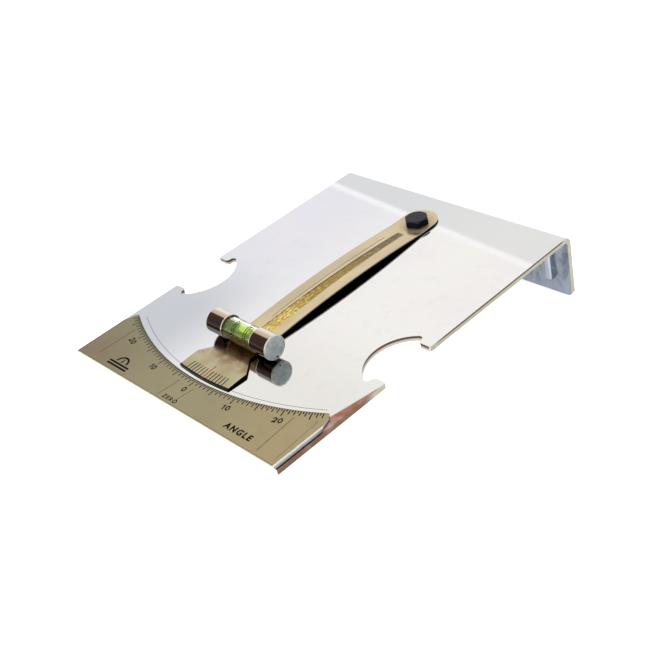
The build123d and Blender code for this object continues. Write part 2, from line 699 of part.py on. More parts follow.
# The plate tips until its front lower edge and the flange's inner lower edge meet the table.
STAND_ANGLE = degrees(atan2(FLANGE_HEIGHT - PLATE_THICKNESS, PLATE_LENGTH - PLATE_THICKNESS))
tipped = {name: [Rot(STAND_ANGLE, 0, 0) * s for s in solids_of(shape)] for name, shape in nodes.items()}
whole = Compound([s for group in tipped.values() for s in group]).bounding_box()
ORIGIN_SHIFT = Pos(0, -(whole.min.Y + whole.max.Y) / 2, -whole.min.Z)

for name, group in tipped.items():
    placed = [ORIGIN_SHIFT * solid for solid in group]
    export_step(placed[0] if len(placed) == 1 else Compound(placed), f"parts/{name}.step")
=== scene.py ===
import json
import math

import bmesh
import bpy
from mathutils import Matrix, Vector


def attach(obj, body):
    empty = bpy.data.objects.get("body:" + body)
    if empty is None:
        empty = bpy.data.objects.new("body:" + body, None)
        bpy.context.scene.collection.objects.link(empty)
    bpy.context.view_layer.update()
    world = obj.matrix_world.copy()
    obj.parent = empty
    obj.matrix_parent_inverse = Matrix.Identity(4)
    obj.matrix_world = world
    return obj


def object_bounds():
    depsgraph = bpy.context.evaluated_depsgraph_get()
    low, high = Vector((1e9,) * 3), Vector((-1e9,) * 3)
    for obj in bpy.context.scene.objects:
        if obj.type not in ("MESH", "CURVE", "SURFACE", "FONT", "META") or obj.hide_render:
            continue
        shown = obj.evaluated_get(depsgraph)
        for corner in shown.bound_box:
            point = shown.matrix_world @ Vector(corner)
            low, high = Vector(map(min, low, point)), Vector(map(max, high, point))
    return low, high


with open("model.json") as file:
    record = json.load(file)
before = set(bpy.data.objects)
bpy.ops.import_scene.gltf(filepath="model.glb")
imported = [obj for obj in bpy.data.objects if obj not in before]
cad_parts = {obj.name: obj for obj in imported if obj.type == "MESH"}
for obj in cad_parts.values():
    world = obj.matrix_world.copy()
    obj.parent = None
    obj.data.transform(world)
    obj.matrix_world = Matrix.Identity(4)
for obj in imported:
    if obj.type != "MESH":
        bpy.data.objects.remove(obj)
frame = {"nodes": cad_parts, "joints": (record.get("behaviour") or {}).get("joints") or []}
cad_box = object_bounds()
nodes = frame["nodes"]

MM = 0.001

# The plate's own frame: origin on its top face at the middle of the front edge, X across, Y to the
# rear, Z off the plate. Lengths below are in that frame and in millimetres, unless said otherwise.
swing = next(joint for joint in frame["joints"] if joint["name"] == "arm_swing")
PIVOT = Vector(swing["pos_m"])
TILT = math.atan2(-swing["axis"][1], swing["axis"][2])
PIVOT_Y = 145.0
PLATE = (
    Matrix.Translation(PIVOT) @ Matrix.Rotation(TILT, 4, "X") @ Matrix.Translation((0, -PIVOT_Y * MM, 0))
)

# Plate: the painted highlight of its soft ridge leans across it, and a brown streak of painted
# reflection and a dark painted shadow in a gap lie beside the scale
RIDGE_Y = 149.3
RIDGE_SLANT = -0.09
STREAK_FRONT_Y = 26.0
STREAK_REAR_Y = 50.0
STREAK_X = 59.6
STREAK_LEAN = 0.18
GAP_X = 64.0
NOTCH_X = 64.2
FOLD_Y = 163.0
FLANGE_FOOT_Z = -29.0

# Scale plate
SCALE_TOP = 1.1
SCALE_RIM = 129.1
SCALE_LEFT_X = -62.6
SCALE_RIGHT_X = 59.0

# Arm: its pointer, its groove, and the line beside its left edge
ARM_NECK_Y = 36.5
POINTER_RIM = 127.05
POINTER_SIDE_X = 14.9
ARM_LINE_X = -4.1
GROOVE_MIDDLE_X = 0.2
GROOVE_HALF_WIDTH = 1.55
GROOVE_FRONT_Y = 46.6
GROOVE_REAR_Y = 133.7
GROOVE_TAPER_Y = 134.5
GROOVE_TAPER = 0.0195

# Level
LEVEL_Y = 42.7
LEVEL_Z = 6.4
PIN_Z = 2.23
PIN_RADIUS = 0.4
SLEEVE_MOUTH_X = 8.9

# Print on the scale
PRINT_THICKNESS = 0.02
CAPITAL_HEIGHT = 0.69
EMBLEM_X = -38.0
EMBLEM_Y = 5.4
EMBLEM_RADIUS = 3.6
EMBLEM_STROKE = 0.9
EMBLEM_HALF_WIDTH = 6.5
EMBLEM_ROW_PITCH = 1.7
EMBLEM_STEPS = 28

# Studio: the surround's brightness and colours, and a strip light over the level, in metres
STUDIO_LIGHT = 1.55
OVERHEAD = (1.0, 0.995, 0.99, 1)
HORIZON = (0.74, 0.76, 0.80, 1)
OPEN_ROOM = (0.36, 0.37, 0.42, 1)
STRIP_DIRECTION = (-0.67, 0.62, 0.42)
STRIP_DISTANCE = 0.6
STRIP_LENGTH = 0.5
STRIP_WIDTH = 0.4
STRIP_POWER = 1.7
FLOOR_SIZE = 4.0

# Camera, as measured from the object's own edges, in metres
CAMERA_PLACE = Vector((0.32064, -0.27544, 0.23080))
CAMERA_AIM = Vector((0.00511, -0.00657, 0.00450))
CAMERA_ROLL = math.radians(-5.40)
CAMERA_LENS = 62.26


def srgb(red, green, blue):
    """Linear colour of an 8-bit display colour."""
    display = (red / 255, green / 255, blue / 255)
    linear = [c / 12.92 if c <= 0.04045 else ((c + 0.055) / 1.055) ** 2.4 for c in display]
    return (*linear, 1.0)


def seen(red, green, blue):
    """Reflectance that shows an 8-bit display colour under the studio's surround."""
    return (*(c / STUDIO_LIGHT for c in srgb(red, green, blue)[:3]), 1.0)


class Shader:
    """A node material on a Principled surface; most methods add nodes and return their output.

    Masks run from 0 to 1, and points and normals are in the plate's frame.
    """

    def __init__(self, name, **constants):
        self.material = bpy.data.materials.new(name)
        self.material.use_nodes = True
        self.tree = self.material.node_tree
        self.surface = self.tree.nodes["Principled BSDF"]
        for socket, value in constants.items():
            self.surface.inputs[socket.replace("_", " ")].default_value = value

    def add(self, kind, output=0, settings=None, **inputs):
        """Adds a node. An input is given by its name, or by its number as i0, i1 and so on."""
        node = self.tree.nodes.new(kind)
        for key, value in (settings or {}).items():
            setattr(node, key, value)
        for key, value in inputs.items():
            numbered = key[0] == "i" and key[1:].isdigit()
            self.feed(node.inputs[int(key[1:])] if numbered else node.inputs[key], value)
        return node.outputs[output]

    def feed(self, socket, value):
        if isinstance(value, bpy.types.NodeSocket):
            self.tree.links.new(value, socket)
        else:
            socket.default_value = value

    def set(self, socket, value):
        self.feed(self.surface.inputs[socket], value)

    def plate_point(self):
        """Position in the plate's frame, in millimetres."""
        return self.add(
            "ShaderNodeMapping",
            settings={"vector_type": "POINT"},
            Vector=self.add("ShaderNodeTexCoord", "Object"),
            Location=PLATE.inverted().to_translation() / MM,
            Rotation=(-TILT, 0, 0),
            Scale=(1 / MM, 1 / MM, 1 / MM),
        )

    def plate_normal(self):
        """Surface normal in the plate's frame."""
        return self.add(
            "ShaderNodeMapping",
            settings={"vector_type": "NORMAL"},
            Vector=self.add("ShaderNodeTexCoord", "Normal"),
            Rotation=(-TILT, 0, 0),
        )

    def axes(self, vector):
        node = self.tree.nodes.new("ShaderNodeSeparateXYZ")
        self.feed(node.inputs[0], vector)
        return node.outputs

    def calc(self, operation, a, b=0.0):
        return self.add("ShaderNodeMath", settings={"operation": operation}, i0=a, i1=b)

    def times(self, product, *others):
        """Product of masks and numbers."""
        for other in others:
            product = self.calc("MULTIPLY", product, other)
        return product

    def fade(self, value, start, end, low=0.0, high=1.0):
        """Smooth step of a value from low at start to high at end."""
        return self.add(
            "ShaderNodeMapRange",
            settings={"interpolation_type": "SMOOTHSTEP"},
            i0=value, i1=start, i2=end, i3=low, i4=high,
        )

    def hill(self, value, foot, top, far_top, far_foot):
        """Mask that rises from foot to top and falls again from far_top to far_foot."""
        return self.times(self.fade(value, foot, top), self.fade(value, far_foot, far_top))

    def distance(self, a, b):
        """Length of a vector given by two values at right angles."""
        return self.calc("SQRT", self.calc("ADD", self.times(a, a), self.times(b, b)))

    def pivot_radius(self, x, y):
        """Distance from the arm's pivot, along the plate."""
        return self.distance(x, self.calc("SUBTRACT", y, PIVOT_Y))

    def upright(self, nz):
        """Mask of the faces that stand square to the plate."""
        return self.fade(self.calc("ABSOLUTE", nz), 0.6, 0.3)

    def cut_floor(self, z, nz, top):
        """Mask of the floors of shallow cuts in a face at the given height."""
        return self.times(self.fade(z, top - 0.02, top - 0.05), self.fade(nz, 0.8, 0.95))

    def stretch(self, vector, x, y, z):
        return self.add("ShaderNodeMapping", Vector=vector, Scale=(x, y, z))

    def noise(self, vector, scale, detail=4.0, roughness=0.55, distortion=0.0):
        return self.add(
            "ShaderNodeTexNoise",
            Vector=vector, Scale=scale, Detail=detail, Roughness=roughness, Distortion=distortion,
        )

    def mix(self, factor, a, b):
        node = self.tree.nodes.new("ShaderNodeMix")
        node.data_type = "RGBA"
        node.clamp_factor = True
        self.feed(node.inputs[0], factor)
        self.feed(node.inputs[6], a)
        self.feed(node.inputs[7], b)
        return node.outputs[2]

    def relief(self, height, distance, strength):
        """Gives the surface a bump of the given height, with its distance in millimetres."""
        bump = self.add("ShaderNodeBump", Height=height, Distance=distance * MM, Strength=strength)
        self.set("Normal", bump)

    def wear(self, *node_names):
        """Gives the material to CAD nodes."""
        for node_name in node_names:
            mesh = nodes[node_name].data
            mesh.materials.clear()
            mesh.materials.append(self.material)


def mirror_face(s, point, x, y, mottle):
    """Tint of the plate's top, painted as the reflection of the surround: cool at the left, warm at the
    right and near the scale, with painted shade in the left front corner, a painted highlight on the
    ridge ahead of the fold and a greyer painted reflection past it.
    """
    cloud = s.noise(point, 0.022, 3.0)
    # Painted reflection: the cool and warm tints of the surround seen in the mirror.
    tint = s.mix(s.fade(x, -62, 30), seen(222, 223, 232), seen(242, 240, 236))
    tint = s.mix(s.fade(cloud, 0.35, 0.7, 0.0, 0.5), tint, seen(236, 230, 234))
    # Painted shade: the left front corner is darkened.
    corner_shade = s.times(s.fade(x, -8, -44), s.fade(y, 92, 45), 0.9)
    tint = s.mix(corner_shade, tint, seen(194, 198, 204))
    near_scale = s.times(s.fade(y, 80, 35), s.fade(x, -20, 10), 0.6)
    tint = s.mix(near_scale, tint, seen(226, 224, 218))
    ridge = s.calc("SUBTRACT", y, s.times(x, RIDGE_SLANT))
    # Painted reflection past the ridge, and a painted highlight along the ridge itself.
    beyond_ridge_reflection = s.mix(s.fade(x, -40, 50), seen(211, 213, 216), seen(222, 222, 220))
    tint = s.mix(s.times(s.fade(ridge, RIDGE_Y - 2.0, RIDGE_Y + 2.5), 0.9), tint, beyond_ridge_reflection)
    ridge_highlight = s.hill(ridge, RIDGE_Y - 5.0, RIDGE_Y - 1.0, RIDGE_Y - 1.0, RIDGE_Y + 2.0)
    tint = s.mix(s.times(ridge_highlight, 0.8), tint, seen(247, 246, 249))
    return s.mix(s.fade(mottle, 0.5, 0.75, 0.0, 0.15), tint, seen(205, 205, 208))


def beside_scale(s, tint, x, y, mottle):
    """Adds a brown streak of painted reflection and a dark painted shadow in the gap, on the plate at
    the scale's right end.
    """
    lean = s.times(s.calc("SUBTRACT", y, STREAK_FRONT_Y), STREAK_LEAN)
    # Painted reflection: a brown streak on the plate.
    streak = s.times(
        s.fade(s.calc("SUBTRACT", x, lean), STREAK_X, STREAK_X + 1.0),
        s.hill(y, STREAK_FRONT_Y - 6.0, STREAK_FRONT_Y, STREAK_REAR_Y, STREAK_REAR_Y + 5.0),
        s.fade(mottle, 0.2, 0.6, 0.5, 1.0),
    )
    tint = s.mix(streak, tint, seen(160, 106, 84))
    # Painted shadow: the gap beside the scale is darkened.
    gap = s.times(s.fade(x, GAP_X, GAP_X + 0.2), s.fade(y, STREAK_FRONT_Y, STREAK_FRONT_Y - 4.0))
    return s.mix(gap, tint, seen(44, 30, 26))


def flange_inside(s, point, z):
    """Blotchy blue-grey tint of the flange's inner face: darker than the sheet as painted shade and
    reflection of the underside, and paler at its foot as a painted reflection of the floor.
    """
    blotchy = s.noise(s.stretch(point, 1.0, 1.0, 0.6), 0.16, 4.0, 0.6, 0.8)
    tint = s.mix(s.fade(blotchy, 0.36, 0.62), srgb(104, 110, 124), srgb(144, 152, 163))
    # Painted reflection of the floor: paler towards the foot.
    foot = s.fade(z, FLANGE_FOOT_Z + 8.0, FLANGE_FOOT_Z, 0.0, 0.7)
    return s.mix(foot, tint, srgb(152, 158, 170))


def sheared_edge(s, point, x, y, z, mottle):
    """Tint of the sheet's cut edges: a dark line of painted shade along the top, painted shade at the
    foot, and a red painted reflection beside the scale.
    """
    drag = s.noise(s.stretch(point, 1, 0.25, 6.0), 0.9, 4.0)
    tint = s.mix(s.fade(drag, 0.4, 0.65), seen(190, 187, 168), seen(164, 160, 140))
    # Painted shade: a dark line along the top of the edge.
    top_shade_line = s.times(s.fade(z, -1.0, -0.55), s.fade(y, 81, 90), s.fade(y, FOLD_Y + 1.5, FOLD_Y))
    tint = s.mix(top_shade_line, tint, seen(84, 68, 46))
    # Painted shade: darker at the foot, next to the floor.
    foot = s.fade(z, FLANGE_FOOT_Z, FLANGE_FOOT_Z - 0.6, 0.0, 0.6)
    tint = s.mix(foot, tint, seen(150, 148, 140))
    # Painted reflection: a red patch on the edge beside the scale.
    edge_red_reflection = s.times(
        s.fade(x, GAP_X - 4.0, GAP_X),
        s.fade(y, STREAK_REAR_Y, STREAK_REAR_Y - 6.0),
        s.fade(mottle, 0.2, 0.6, 0.6, 0.95),
    )
    return s.mix(edge_red_reflection, tint, seen(120, 84, 68))


def polished_plate():
    """Mirror-polished sheet with fine hairlines and faint tints, much of them painted reflection, shade
    and highlight.
    """
    s = Shader("polished_plate", Metallic=1.0)
    point = s.plate_point()
    x, y, z = s.axes(point)
    _, ny, nz = s.axes(s.plate_normal())
    mottle = s.noise(point, 0.16, 5.0, 0.6)
    tint = mirror_face(s, point, x, y, mottle)
    tint = beside_scale(s, tint, x, y, mottle)
    scribed_arc = s.times(s.cut_floor(z, nz, 0.0), s.fade(y, 120, 80), 0.75)
    tint = s.mix(scribed_arc, tint, seen(96, 94, 98))
    flange = s.times(s.fade(ny, -0.4, -0.8), s.fade(y, 140, 150))
    tint = s.mix(flange, tint, flange_inside(s, point, z))
    side = s.upright(nz)
    edge = s.times(side, s.fade(s.calc("ABSOLUTE", ny), 0.8, 0.6))
    tint = s.mix(edge, tint, sheared_edge(s, point, x, y, z, mottle))
    # Painted reflection: the front face is made near white.
    front = s.times(s.fade(ny, -0.6, -0.9), s.fade(y, 4, 1))
    tint = s.mix(front, tint, srgb(250, 251, 246))
    inboard = s.fade(s.calc("ABSOLUTE", x), NOTCH_X + 0.4, NOTCH_X)
    # Painted shade: the notch sides are dark along their top.
    notch = s.times(inboard, side, s.hill(y, 30, 45, 100, 120))
    notch_tint = s.mix(s.fade(z, -1.6, -0.7), seen(205, 198, 186), seen(92, 74, 60))
    s.set("Base Color", s.mix(notch, tint, notch_tint))
    hairline = s.noise(s.stretch(point, 9.0, 0.35, 3.0), 1.6, 3.0, 0.65)
    gloss = s.calc("ADD", s.fade(hairline, 0.35, 0.75, 0.05, 0.12), s.times(edge, 0.25))
    s.set("Roughness", s.calc("ADD", gloss, s.times(flange, 0.12)))
    wave = s.noise(point, 0.05, 2.0)
    s.relief(s.calc("ADD", wave, s.times(hairline, 0.004)), 0.25, 0.35)
    s.wear("base_plate")


def rib_metal():
    """Pressed ribs inside the fold: the sheet's metal, softly brushed, with painted shade on their left
    sides, strongest near the plate.
    """
    s = Shader("rib_metal", Metallic=1.0)
    point = s.plate_point()
    _, _, z = s.axes(point)
    nx, _, _ = s.axes(s.plate_normal())
    brushed = s.noise(s.stretch(point, 5.0, 5.0, 0.4), 0.9, 4.0, 0.6)
    tint = s.mix(s.fade(brushed, 0.35, 0.7), seen(214, 222, 230), seen(186, 194, 206))
    # Painted shade: the ribs' left sides are darkened.
    shaded_left_side = s.times(s.fade(nx, 0.05, -0.5), s.fade(z, -21.0, -10.0, 0.35, 1.0))
    s.set("Base Color", s.mix(shaded_left_side, tint, seen(52, 48, 58)))
    s.set("Roughness", s.fade(brushed, 0.2, 0.9, 0.16, 0.3))
    s.relief(brushed, 0.03, 0.5)
    s.wear("flange_gusset_left", "flange_gusset_right")


def scale_face(s, point, x, y, brushed, speck):
    """Tan of the scale's top: greyer at the left, browner at the front left corner, spotted, with
    painted sheen along the brushing.
    """
    blotch = s.noise(point, 0.07, 5.0, 0.6)
    tan = s.mix(s.fade(x, -60, 5), seen(131, 123, 96), seen(154, 145, 113))
    tan = s.mix(s.fade(x, 10, 58), tan, seen(170, 154, 115))
    brown = s.times(s.fade(x, -25, -62), s.fade(y, 22, 2), 0.8)
    tan = s.mix(brown, tan, seen(126, 106, 84))
    tan = s.mix(s.fade(blotch, 0.45, 0.75, 0.0, 0.5), tan, seen(146, 130, 100))
    tan = s.mix(s.fade(speck, 0.66, 0.78, 0.0, 0.4), tan, seen(120, 98, 74))
    # Painted sheen: lighter streaks along the brushing.
    return s.mix(s.fade(brushed, 0.35, 0.8, 0.0, 0.2), tan, seen(180, 170, 140))


def scale_metal():
    """Plated scale: brushed along its length, with painted shade along its arrises and on its
    rear-facing sides, scribed lines, and a pale right end lit as a painted highlight.
    """
    s = Shader("scale_metal", Metallic=1.0)
    point = s.plate_point()
    x, y, z = s.axes(point)
    nx, ny, nz = s.axes(s.plate_normal())
    brushed = s.noise(s.stretch(point, 0.25, 7.0, 1.0), 1.4, 5.0, 0.7)
    speck = s.noise(point, 0.9, 6.0, 0.75)
    tan = scale_face(s, point, x, y, brushed, speck)
    # Painted shade: dark lines along the front, left and inner arc arrises.
    shaded_arris = s.calc("MAXIMUM", s.fade(y, 0.45, 0.2), s.fade(x, SCALE_LEFT_X, SCALE_LEFT_X - 0.35))
    rim = s.fade(s.pivot_radius(x, y), SCALE_RIM + 0.5, SCALE_RIM + 0.3)
    shaded_arris = s.calc("MAXIMUM", shaded_arris, s.times(rim, s.fade(x, 40, -10, 0.45, 1.0)))
    tan = s.mix(s.times(shaded_arris, 0.85), tan, seen(66, 58, 48))
    scribed = s.times(s.cut_floor(z, nz, SCALE_TOP), 0.8)
    tan = s.mix(scribed, tan, seen(70, 56, 42))
    side = s.upright(nz)
    # Painted highlight: the right end face is near white and not metallic.
    lit_right_end = s.times(side, s.fade(nx, 0.2, 0.6), s.fade(x, SCALE_RIGHT_X, SCALE_RIGHT_X + 1.0))
    side_light_and_shade = s.mix(lit_right_end, seen(206, 198, 172), srgb(255, 254, 250))
    # Painted shade: the rear-facing sides are dark.
    side_light_and_shade = s.mix(s.fade(ny, 0.2, 0.5), side_light_and_shade, seen(40, 36, 34))
    s.set("Base Color", s.mix(side, tan, side_light_and_shade))
    s.set("Metallic", s.calc("SUBTRACT", 1.0, lit_right_end))
    s.set("Roughness", s.fade(brushed, 0.2, 0.9, 0.18, 0.34))
    s.relief(s.calc("ADD", brushed, s.times(speck, 0.5)), 0.02, 0.4)
    s.wear("scale_plate")


def arm_strip(s, x, y, cloud, brushed):
    """Cream of the arm's top, with painted sheen along the brushing, a thin dark line, and painted shade
    dimming the middle along its left edge.
    """
    cream = s.mix(s.fade(cloud, 0.3, 0.7), seen(216, 198, 162), seen(200, 181, 144))
    # Painted sheen: lighter streaks along the brushing.
    cream = s.mix(s.fade(brushed, 0.4, 0.8, 0.0, 0.25), cream, seen(238, 226, 200))
    off_line = s.calc("ABSOLUTE", s.calc("SUBTRACT", x, ARM_LINE_X))
    line = s.times(s.fade(off_line, 0.3, 0.15), s.hill(y, 58, 62, 126, 130), 0.6)
    cream = s.mix(line, cream, seen(122, 104, 78))
    off_middle = s.calc("ABSOLUTE", s.calc("SUBTRACT", y, 88.0))
    # Painted shade: the middle of the left strip is dimmed.
    left_edge_shade = s.times(s.fade(x, -3.2, -4.6), s.fade(off_middle, 34, 14), 0.7)
    return s.mix(left_edge_shade, cream, seen(192, 178, 150))


def pointer_face(s, tint, point, x, y, radius, cloud, pointer):
    """Adds the tan pointer, reddened in blotches under the level, with its arrises blackened as painted
    shade.
    """
    tan = s.mix(s.fade(cloud, 0.35, 0.65), seen(190, 180, 146), seen(172, 159, 123))
    tint = s.mix(pointer, tint, tan)
    red_blotches = s.noise(point, 0.16, 4.0, 0.55, 0.4)
    under_level = s.times(s.hill(y, 26.0, 31.0, 37.0, 42.0), s.fade(red_blotches, 0.38, 0.6, 0.1, 0.8))
    tint = s.mix(under_level, tint, seen(150, 112, 84))
    # Painted shade: the pointer's rim and right edge are blackened.
    rim = s.fade(radius, POINTER_RIM - 0.95, POINTER_RIM - 0.75)
    right = s.fade(x, POINTER_SIDE_X, POINTER_SIDE_X + 0.2)
    shaded_arris = s.times(s.calc("MAXIMUM", rim, right), pointer)
    return s.mix(shaded_arris, tint, seen(14, 11, 12))


def groove_mask(s, x, y):
    """Mask of the groove along the arm, which widens towards the level."""
    widen = s.times(s.calc("SUBTRACT", GROOVE_TAPER_Y, y), GROOVE_TAPER)
    off_middle = s.calc("ABSOLUTE", s.calc("SUBTRACT", x, GROOVE_MIDDLE_X))
    beside = s.calc("SUBTRACT", off_middle, widen)
    return s.times(
        s.fade(beside, GROOVE_HALF_WIDTH + 0.2, GROOVE_HALF_WIDTH),
        s.hill(y, GROOVE_FRONT_Y, GROOVE_FRONT_Y + 0.8, GROOVE_REAR_Y, GROOVE_REAR_Y + 1.0),
    )


def groove_gold(s, point, y):
    """Bare gold, brightest at the level and brown at the rear, with flecks that fade to the rear."""
    gold = s.mix(s.fade(y, 126, 88), seen(120, 98, 70), seen(158, 128, 62))
    gold = s.mix(s.fade(y, 84, 60), gold, seen(208, 174, 96))
    flecks = s.noise(s.stretch(point, 1.0, 0.6, 1.0), 1.1, 5.0, 0.7)
    near = s.fade(y, 96, 66, 0.25, 1.0)
    gold = s.mix(s.times(s.fade(flecks, 0.52, 0.62), near), gold, seen(255, 246, 150))
    return s.mix(s.times(s.fade(flecks, 0.47, 0.36), near), gold, seen(120, 90, 30))


def arm_metal():
    """Plated arm: cream top, bare gold groove, tan pointer, painted shade on the underside and the
    pointer's sides, and painted reflection on the other sides.
    """
    s = Shader("arm_metal", Metallic=1.0)
    point = s.plate_point()
    x, y, _ = s.axes(point)
    _, _, nz = s.axes(s.plate_normal())
    brushed = s.noise(s.stretch(point, 9.0, 0.12, 1.0), 1.0, 4.0, 0.6)
    cloud = s.noise(s.stretch(point, 1.0, 0.5, 1.0), 0.09, 3.0, 0.5)
    radius = s.pivot_radius(x, y)
    pointer = s.fade(y, ARM_NECK_Y + 1.0, ARM_NECK_Y - 5.0)
    top = arm_strip(s, x, y, cloud, brushed)
    top = pointer_face(s, top, point, x, y, radius, cloud, pointer)
    groove = groove_mask(s, x, y)
    top = s.mix(groove, top, groove_gold(s, point, y))
    # Painted reflection makes the arm's sides near white; painted shade makes the pointer's sides black.
    side_light_and_shade = s.mix(pointer, seen(252, 246, 230), seen(16, 12, 12))
    top = s.mix(s.upright(nz), top, side_light_and_shade)
    # Painted shade: the underside is near black.
    s.set("Base Color", s.mix(s.fade(nz, -0.3, -0.6), top, srgb(10, 9, 15)))
    gloss = s.calc("ADD", s.fade(brushed, 0.2, 0.9, 0.16, 0.24), s.times(groove, 0.15))
    s.set("Roughness", s.calc("ADD", gloss, s.fade(radius, 10.0, 7.0, 0.0, 0.3)))
    grain = s.noise(point, 1.5, 6.0, 0.8)
    s.relief(s.calc("ADD", s.times(brushed, 0.1), s.times(grain, groove, 3.0)), 0.05, 0.5)
    s.wear("pointer_arm")


def saddle_metal():
    """Dark brown cradle and solder under the vial: tarnished, and darkened further as painted shade."""
    s = Shader("saddle_metal", Metallic=1.0)
    patch = s.noise(s.plate_point(), 0.5, 5.0, 0.7)
    # Partly painted shade: the dark brown stands in for the shadow under the vial.
    s.set("Base Color", s.mix(s.fade(patch, 0.35, 0.7), seen(136, 116, 78), seen(84, 64, 44)))
    s.set("Roughness", s.fade(patch, 0.2, 0.8, 0.25, 0.45))
    s.relief(patch, 0.08, 0.5)
    s.wear("level_saddle", "level_solder")


def ferrule_metal():
    """Black-chromed sleeves: fine turning marks, a few rubbed spots, a painted highlight on the crown, a
    painted reflection along the keel and painted highlights at the mouths.
    """
    s = Shader("ferrule_metal", Metallic=1.0)
    point = s.plate_point()
    x, _, _ = s.axes(point)
    _, ny, nz = s.axes(s.plate_normal())
    turned = s.noise(s.stretch(point, 9.0, 0.3, 0.3), 1.6, 4.0, 0.7)
    rubbed = s.noise(point, 0.8, 6.0, 0.7)
    dark = s.mix(s.fade(turned, 0.35, 0.75), seen(46, 31, 28), seen(74, 54, 46))
    dark = s.mix(s.fade(rubbed, 0.68, 0.78, 0.0, 0.6), dark, seen(150, 130, 110))
    # Painted highlight: a cream band on the crown, set by the normal.
    crown = s.times(s.fade(ny, -0.33, -0.2), s.fade(nz, 0.0, 0.3))
    soft = s.mix(s.fade(ny, -0.1, 0.35), seen(196, 178, 152), seen(236, 230, 216))
    dark = s.mix(crown, dark, soft)
    # Painted reflection: a thin grey line along the keel.
    keel = s.times(s.hill(nz, -0.12, -0.02, 0.03, 0.12), s.fade(ny, -0.3, -0.7))
    dark = s.mix(keel, dark, seen(150, 138, 124))
    # Painted highlight: a bright ring at the inner mouths.
    mouth = s.fade(s.calc("ABSOLUTE", x), SLEEVE_MOUTH_X + 0.2, SLEEVE_MOUTH_X)
    s.set("Base Color", s.mix(mouth, dark, seen(236, 226, 206)))
    s.set("Roughness", s.fade(turned, 0.2, 0.9, 0.08, 0.2))
    s.relief(turned, 0.012, 0.4)
    s.wear("ferrule_left", "ferrule_right")


def disc_metal():
    """Dull pale caps with a cloudy cast face, a lighter turned rim and a dark spot painted as the shade
    in a pin hole.
    """
    s = Shader("disc_metal", Metallic=0.55)
    point = s.plate_point()
    _, y, z = s.axes(point)
    nx, _, _ = s.axes(s.plate_normal())
    cloud = s.noise(point, 0.45, 5.0, 0.65, 0.6)
    grain = s.noise(point, 3.0, 4.0, 0.6)
    pale = s.mix(s.fade(cloud, 0.35, 0.65), seen(206, 218, 216), seen(246, 255, 250))
    pale = s.mix(s.fade(grain, 0.6, 0.75, 0.0, 0.4), pale, seen(172, 184, 186))
    rim = s.fade(s.calc("ABSOLUTE", nx), 0.9, 0.6)
    pale = s.mix(rim, pale, seen(226, 226, 214))
    from_pin = s.distance(s.calc("SUBTRACT", z, PIN_Z), s.calc("SUBTRACT", y, LEVEL_Y))
    # Painted shade: a dark spot standing in for the shade of the pin hole.
    pin = s.fade(from_pin, PIN_RADIUS + 0.15, PIN_RADIUS)
    s.set("Base Color", s.mix(pin, pale, seen(20, 20, 22)))
    s.set("Roughness", s.fade(cloud, 0.2, 0.8, 0.35, 0.6))
    s.relief(s.calc("ADD", cloud, s.times(grain, 0.3)), 0.15, 0.6)
    s.wear("end_disc_left", "end_disc_right")


def plaster():
    """Matt bedding with pores."""
    s = Shader("plaster", Metallic=0.0)
    pores = s.noise(s.plate_point(), 2.4, 5.0, 0.7)
    s.set("Base Color", s.mix(s.fade(pores, 0.4, 0.65), srgb(188, 184, 170), srgb(222, 218, 206)))
    s.set("Roughness", s.fade(pores, 0.2, 0.8, 0.75, 0.95))
    s.relief(pores, 0.1, 0.5)
    s.wear("vial_seat_left", "vial_seat_right")


def vial_glass():
    """Clear tube with the faint waviness of drawn glass."""
    s = Shader(
        "vial_glass",
        Metallic=0.0, IOR=1.47, Transmission_Weight=1.0, Specular_Tint=(0.86, 1.0, 0.5, 1.0),
    )
    drawn = s.noise(s.stretch(s.plate_point(), 0.15, 1.0, 1.0), 0.6, 2.0)
    s.set("Base Color", s.mix(s.fade(drawn, 0.3, 0.7), srgb(245, 255, 226), srgb(236, 252, 214)))
    s.set("Roughness", s.fade(drawn, 0.2, 0.8, 0.0, 0.03))
    s.relief(drawn, 0.02, 0.3)
    s.wear("vial_glass")


def vial_liquid():
    """Green spirit, made to glow as painted light: clear enough to show the bubble, and deeper green
    towards its ends.
    """
    # Painted light: the emission makes the liquid glow.
    s = Shader("vial_liquid", Metallic=0.0, Roughness=0.05, IOR=1.36, Alpha=0.5, Emission_Strength=0.55)
    point = s.plate_point()
    x, _, z = s.axes(point)
    swirl = s.noise(point, 0.45, 4.0, 0.6, 0.5)
    green = s.mix(s.fade(swirl, 0.38, 0.6), srgb(150, 168, 34), srgb(112, 136, 26))
    green = s.mix(s.fade(x, -1.4, -3.6), green, srgb(68, 88, 26))
    green = s.mix(s.fade(x, 4.6, 6.2, 0.0, 0.7), green, srgb(88, 102, 24))
    green = s.mix(s.fade(z, 4.6, 3.4), green, srgb(140, 146, 24))
    s.set("Base Color", green)
    s.set("Emission Color", green)
    s.wear("vial_liquid")


def vial_bubble():
    """Air seen through the liquid, made to glow as painted light."""
    # Painted light: the emission makes the bubble glow.
    s = Shader("vial_bubble", Metallic=0.0, Roughness=0.05, IOR=1.33, Emission_Strength=0.9)
    haze = s.noise(s.plate_point(), 0.6, 2.0)
    pale = s.mix(s.fade(haze, 0.3, 0.7), srgb(196, 222, 96), srgb(226, 240, 140))
    s.set("Base Color", pale)
    s.set("Emission Color", pale)
    s.wear("vial_bubble")


